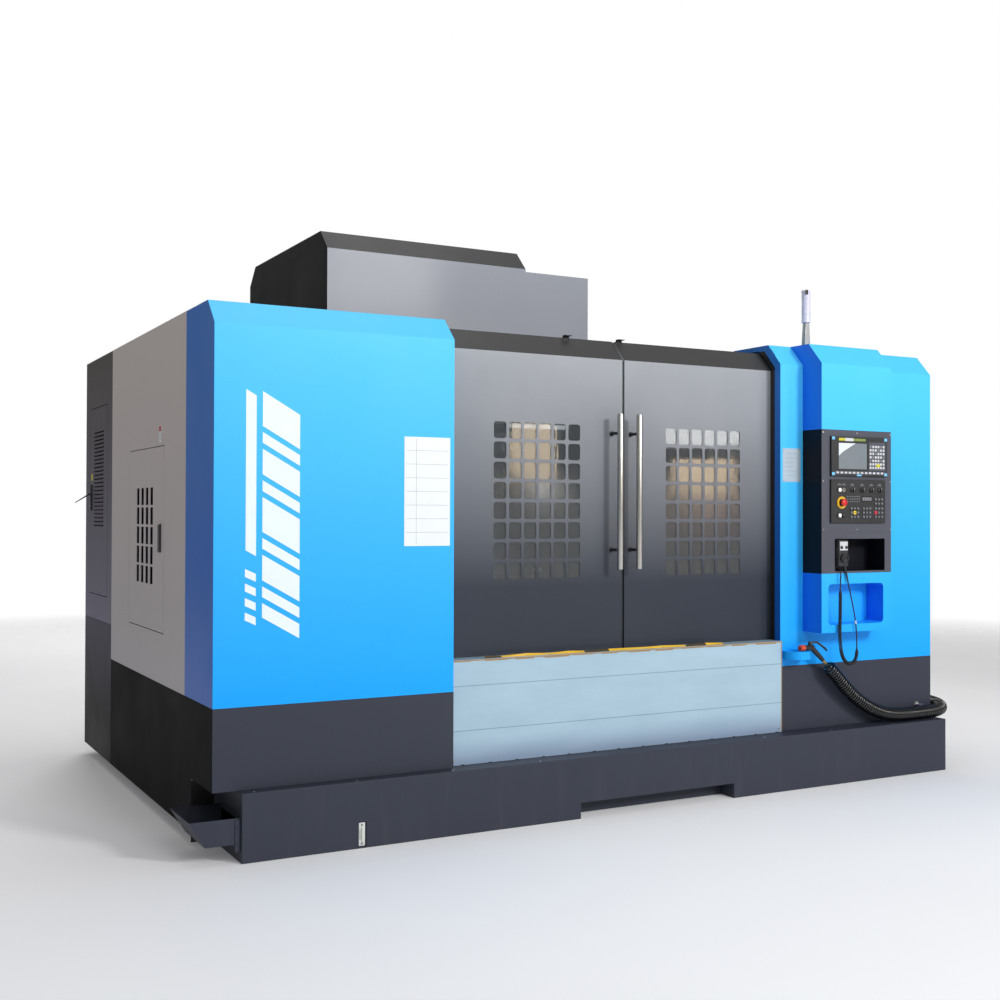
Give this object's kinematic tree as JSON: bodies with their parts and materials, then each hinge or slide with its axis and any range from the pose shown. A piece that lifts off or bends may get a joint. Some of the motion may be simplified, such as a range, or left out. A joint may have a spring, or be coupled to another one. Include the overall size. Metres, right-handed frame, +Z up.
{
  "type": "vertical cnc machining center",
  "caption": "Fully enclosed vertical machining centre with sliding doors, control column, moving table, saddle, spindle head, tool magazine and coolant tank.",
  "frame": {"origin": "middle of the base on the floor", "axes": "+X along the front towards the control column, +Y towards the back, +Z up"},
  "size_m": [4.5529, 2.9773, 3.059],
  "materials": {
    "blue_paint": "gloss paint",
    "grey_paint": "fine textured paint",
    "dark_paint": "fine textured paint",
    "warm_grey_paint": "fine textured paint",
    "cabinet_paint": "fine textured paint",
    "housing_paint": "fine textured paint",
    "film_steel": "stainless under pale blue film",
    "brushed": "brushed",
    "black_plastic": "matte",
    "black_metal": "satin black",
    "red_plastic": "gloss",
    "white_plastic": "gloss",
    "lamp_plastic": "translucent",
    "cast_iron": "painted casting with ground ways",
    "ground_steel": "ground",
    "galvanised": "sheet",
    "clear_glass": "laminated safety glass",
    "screen_black": "display frame",
    "hose_plastic": "gloss black tube",
    "cord_rubber": "satin"
  },
  "bodies": {
    "machine": {"machine_bed": "cast_iron", "machine_column": "cast_iron", "levelling_pads": "ground_steel", "coolant_tank": "dark_paint", "tank_filler_chute": "dark_paint", "left_front_cover": "blue_paint", "right_front_cover": "blue_paint", "side_panels": "warm_grey_paint", "skirt_panels": "dark_paint", "front_apron": "film_steel", "electrical_cabinet": "cabinet_paint", "top_covers": "housing_paint", "door_track": "black_metal", "splash_guards": "galvanised", "control_housing": "blue_paint", "control_fascia": "black_metal", "screen_unit": "screen_black", "operator_panel": "screen_black", "cover_screws": "ground_steel", "gun_holder": "blue_paint", "spray_gun": "black_plastic", "gun_hose_coil": "hose_plastic", "pendant_body": "black_plastic", "pendant_cord_tail": "cord_rubber", "pendant_cord_coil": "cord_rubber", "pendant_cord_lead": "cord_rubber", "tower_lamp": "lamp_plastic", "feed_motors": "black_metal", "magazine_frame": "cast_iron"},
    "left_door": {"left_door": "grey_paint", "left_door_glass": "clear_glass", "left_door_handle": "brushed"},
    "right_door": {"right_door": "grey_paint", "right_door_glass": "clear_glass", "right_door_handle": "brushed"},
    "side_door": {"side_door": "warm_grey_paint"},
    "cabinet_door": {"cabinet_door": "cabinet_paint"},
    "cabinet_lever": {"cabinet_lever": "black_metal"},
    "saddle": {"saddle": "cast_iron"},
    "table": {"table": "cast_iron"},
    "spindle_head": {"spindle_head": "cast_iron"},
    "spindle": {"spindle": "ground_steel"},
    "x_feed_screw": {"x_feed_screw": "ground_steel"},
    "y_feed_screw": {"y_feed_screw": "ground_steel"},
    "z_feed_screw": {"z_feed_screw": "ground_steel"},
    "tool_disc": {"tool_disc": "ground_steel"},
    "arm_shaft": {"arm_shaft": "ground_steel"},
    "change_arm": {"change_arm": "ground_steel"},
    "emergency_stop": {"emergency_stop": "red_plastic"},
    "lamp_button": {"lamp_button": "white_plastic"},
    "start_button": {"start_button": "white_plastic"},
    "hold_button": {"hold_button": "black_plastic"},
    "pendant_wheel": {"pendant_wheel": "black_plastic"},
    "axis_knob": {"axis_knob": "black_plastic"},
    "step_knob": {"step_knob": "black_plastic"},
    "gun_trigger": {"gun_trigger": "black_plastic"},
    "selector_1": {"selector_1": "black_plastic"},
    "selector_2": {"selector_2": "black_plastic"},
    "selector_3": {"selector_3": "black_plastic"},
    "selector_4": {"selector_4": "black_plastic"}
  },
  "joints": [
    {"name": "left_door_slide", "type": "slide", "parent": "machine", "child": "left_door", "axis": [-1, 0, 0], "range_m": [0, 0.9]},
    {"name": "right_door_slide", "type": "slide", "parent": "machine", "child": "right_door", "axis": [1, 0, 0], "range_m": [0, 0.88]},
    {"name": "side_door_hinge", "type": "hinge", "parent": "machine", "child": "side_door", "pos_m": [-2.096, 0.255, 1.35], "axis": [0, 0, 1], "range_deg": [-110, 0]},
    {"name": "cabinet_door_hinge", "type": "hinge", "parent": "machine", "child": "cabinet_door", "pos_m": [-2.096, 0.836, 1.55], "axis": [0, 0, 1], "range_deg": [0, 110]},
    {"name": "cabinet_lever_pivot", "type": "hinge", "parent": "cabinet_door", "child": "cabinet_lever", "pos_m": [-2.1105, 1.303, 1.59], "axis": [0, 1, 0], "range_deg": [-55, 0]},
    {"name": "saddle_slide", "type": "slide", "parent": "machine", "child": "saddle", "axis": [0, 1, 0], "range_m": [-0.45, 0.45]},
    {"name": "table_slide", "type": "slide", "parent": "saddle", "child": "table", "axis": [1, 0, 0], "range_m": [-0.8, 0.8]},
    {"name": "head_slide", "type": "slide", "parent": "machine", "child": "spindle_head", "axis": [0, 0, 1], "range_m": [-0.8, 0]},
    {"name": "spindle_turn", "type": "hinge", "parent": "spindle_head", "child": "spindle", "pos_m": [0.054, -0.221, 2], "axis": [0, 0, 1], "continuous": true},
    {"name": "x_screw_turn", "type": "hinge", "parent": "saddle", "child": "x_feed_screw", "pos_m": [0.054, -0.221, 0.808], "axis": [1, 0, 0], "continuous": true},
    {"name": "y_screw_turn", "type": "hinge", "parent": "machine", "child": "y_feed_screw", "pos_m": [0.054, -0.221, 0.56], "axis": [0, 1, 0], "continuous": true},
    {"name": "z_screw_turn", "type": "hinge", "parent": "machine", "child": "z_feed_screw", "pos_m": [0.054, 0.699, 2], "axis": [0, 0, 1], "continuous": true},
    {"name": "disc_turn", "type": "hinge", "parent": "machine", "child": "tool_disc", "pos_m": [-0.596, -0.221, 2.07], "axis": [1, 0, 0], "continuous": true},
    {"name": "arm_plunge", "type": "slide", "parent": "machine", "child": "arm_shaft", "axis": [0, 0, 1], "range_m": [-0.13, 0]},
    {"name": "arm_swing", "type": "hinge", "parent": "arm_shaft", "child": "change_arm", "pos_m": [-0.296, -0.221, 1.78], "axis": [0, 0, 1], "range_deg": [0, 270]},
    {"name": "emergency_stop_push", "type": "slide", "parent": "machine", "child": "emergency_stop", "axis": [0, 1, 0], "range_m": [0, 0.005], "stiffness_N_per_m": 900},
    {"name": "lamp_button_push", "type": "slide", "parent": "machine", "child": "lamp_button", "axis": [0, 1, 0], "range_m": [0, 0.003], "stiffness_N_per_m": 400},
    {"name": "start_button_push", "type": "slide", "parent": "machine", "child": "start_button", "axis": [0, 1, 0], "range_m": [0, 0.003], "stiffness_N_per_m": 400},
    {"name": "hold_button_push", "type": "slide", "parent": "machine", "child": "hold_button", "axis": [0, 1, 0], "range_m": [0, 0.003], "stiffness_N_per_m": 400},
    {"name": "selector_1_turn", "type": "hinge", "parent": "machine", "child": "selector_1", "pos_m": [1.428, -1.457, 1.614], "axis": [0, 1, 0], "range_deg": [-75, 75]},
    {"name": "selector_2_turn", "type": "hinge", "parent": "machine", "child": "selector_2", "pos_m": [1.5, -1.457, 1.614], "axis": [0, 1, 0], "range_deg": [-135, 135]},
    {"name": "selector_3_turn", "type": "hinge", "parent": "machine", "child": "selector_3", "pos_m": [1.569, -1.457, 1.614], "axis": [0, 1, 0], "range_deg": [-135, 135]},
    {"name": "selector_4_turn", "type": "hinge", "parent": "machine", "child": "selector_4", "pos_m": [1.631, -1.457, 1.614], "axis": [0, 1, 0], "range_deg": [-120, 120]},
    {"name": "pendant_wheel_turn", "type": "hinge", "parent": "machine", "child": "pendant_wheel", "pos_m": [1.354, -1.469, 1.244], "axis": [0, 1, 0], "continuous": true},
    {"name": "axis_knob_turn", "type": "hinge", "parent": "machine", "child": "axis_knob", "pos_m": [1.337, -1.469, 1.3], "axis": [0, 1, 0], "range_deg": [-75, 75]},
    {"name": "step_knob_turn", "type": "hinge", "parent": "machine", "child": "step_knob", "pos_m": [1.371, -1.469, 1.3], "axis": [0, 1, 0], "range_deg": [-45, 45]},
    {"name": "gun_trigger_squeeze", "type": "hinge", "parent": "machine", "child": "gun_trigger", "pos_m": [1.207, -1.366, 0.7793], "axis": [0, 1, 0], "range_deg": [0, 12], "stiffness_Nm_per_rad": 2}
  ],
  "couplings": [
    {"joint": "x_screw_turn", "follows": "table_slide", "rad_per_m": 392.7},
    {"joint": "y_screw_turn", "follows": "saddle_slide", "rad_per_m": 392.7},
    {"joint": "z_screw_turn", "follows": "head_slide", "rad_per_m": 392.7}
  ]
}
